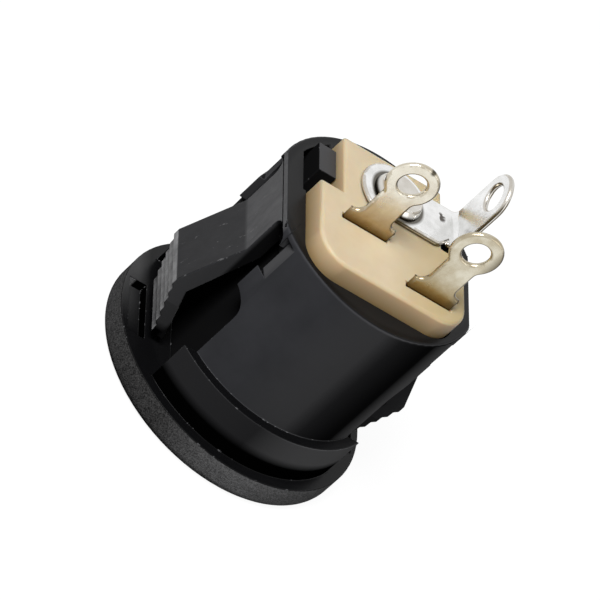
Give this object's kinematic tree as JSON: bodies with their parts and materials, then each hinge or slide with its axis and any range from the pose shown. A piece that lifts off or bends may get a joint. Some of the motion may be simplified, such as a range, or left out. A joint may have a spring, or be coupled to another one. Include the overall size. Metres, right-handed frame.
{
  "type": "dc barrel jack",
  "caption": "Snap-in panel power jack: round flanged plastic housing with sprung arms, centre pin, sleeve spring, switch contact and rear solder lugs.",
  "frame": {"origin": "centre of the flange's front face", "axes": "+Z along the housing's axis from the flange's front face to the solder lugs; X through the snap arms; +Y towards the centre pin"},
  "size_m": [0.014, 0.014, 0.0177],
  "materials": {
    "housing": "satin moulded",
    "terminal_plate": "satin moulded",
    "centre_pin": "nickel plated",
    "centre_lug": "tin plated",
    "switch_contact": "tin plated",
    "sleeve_spring": "tin plated"
  },
  "bodies": {
    "root": {"housing": "housing", "terminal_plate": "terminal_plate", "centre_pin": "centre_pin", "centre_lug": "centre_lug", "switch_contact": "switch_contact", "sleeve_spring": "sleeve_spring"}
  },
  "joints": []
}
